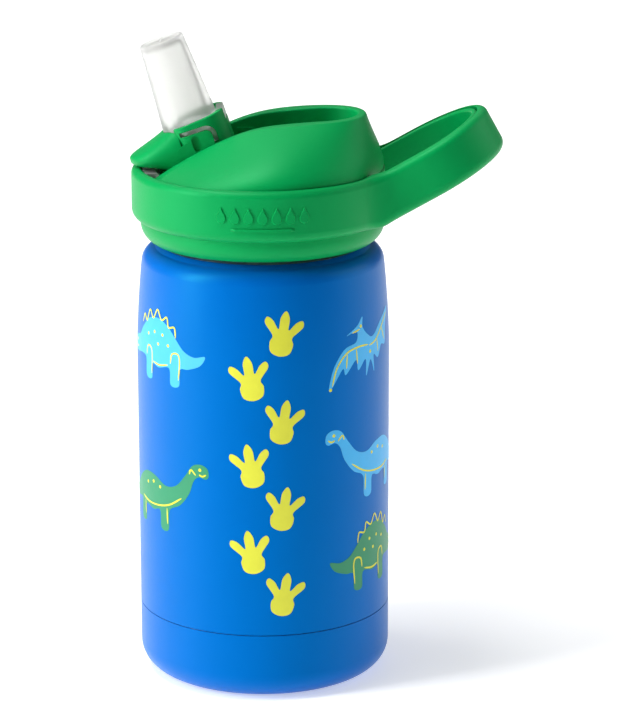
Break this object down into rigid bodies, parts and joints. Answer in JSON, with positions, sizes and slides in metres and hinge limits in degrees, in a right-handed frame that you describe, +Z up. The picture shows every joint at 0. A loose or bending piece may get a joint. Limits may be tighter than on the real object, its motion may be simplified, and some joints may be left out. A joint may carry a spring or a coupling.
{
  "type": "insulated straw bottle",
  "caption": "Children's double-walled steel drinking bottle with a screw cap, fixed carry loop and a flip-up straw spout with a soft bite valve.",
  "frame": {"origin": "centre of the ring that the base stands on", "axes": "+Z up the bottle's axis, +X towards the carry loop, -X towards the spout's thumb tab, +Y across"},
  "size_m": [0.1065, 0.075, 0.1881],
  "materials": {
    "blue_powder_coat": "satin powder coat on stainless steel",
    "bare_steel": "fine brushed stainless steel",
    "sealing_resin": "cured resin",
    "getter_metal": "sintered",
    "green_plastic": "fine satin moulded polypropylene",
    "clear_silicone": "frosted translucent silicone",
    "clear_straw": "clear moulded tube"
  },
  "bodies": {
    "bottle": {"outer_shell": "blue_powder_coat", "base_cup": "blue_powder_coat", "vacuum_bottom": "bare_steel", "vacuum_seal_drop": "sealing_resin", "getter_pellet": "getter_metal", "inner_vessel": "bare_steel", "inner_bottom": "bare_steel"},
    "gasket": {"lip_gasket": "clear_silicone"},
    "cap": {"cap_core": "green_plastic", "port_seat": "clear_silicone", "drinking_straw": "clear_straw", "vent_valve": "clear_silicone", "front_seal_pad": "clear_silicone", "carry_loop": "green_plastic", "loop_liner": "green_plastic", "top_shroud": "green_plastic"},
    "spout": {"flip_spout": "green_plastic", "bite_valve": "clear_silicone"}
  },
  "joints": [
    {"name": "cap_rise", "type": "slide", "parent": "bottle", "child": "gasket", "axis": [0, 0, 1], "range_m": [0, 0.005]},
    {"name": "cap_turn", "type": "hinge", "parent": "gasket", "child": "cap", "pos_m": [0, 0, 0.136], "axis": [0, 0, 1], "range_deg": [0, 450]},
    {"name": "spout_flip", "type": "hinge", "parent": "cap", "child": "spout", "pos_m": [-0.0163, 0, 0.15], "axis": [0, 1, 0], "range_deg": [0, 96]}
  ],
  "couplings": [
    {"joint": "cap_rise", "follows": "cap_turn", "m_per_rad": 0.00063662}
  ]
}
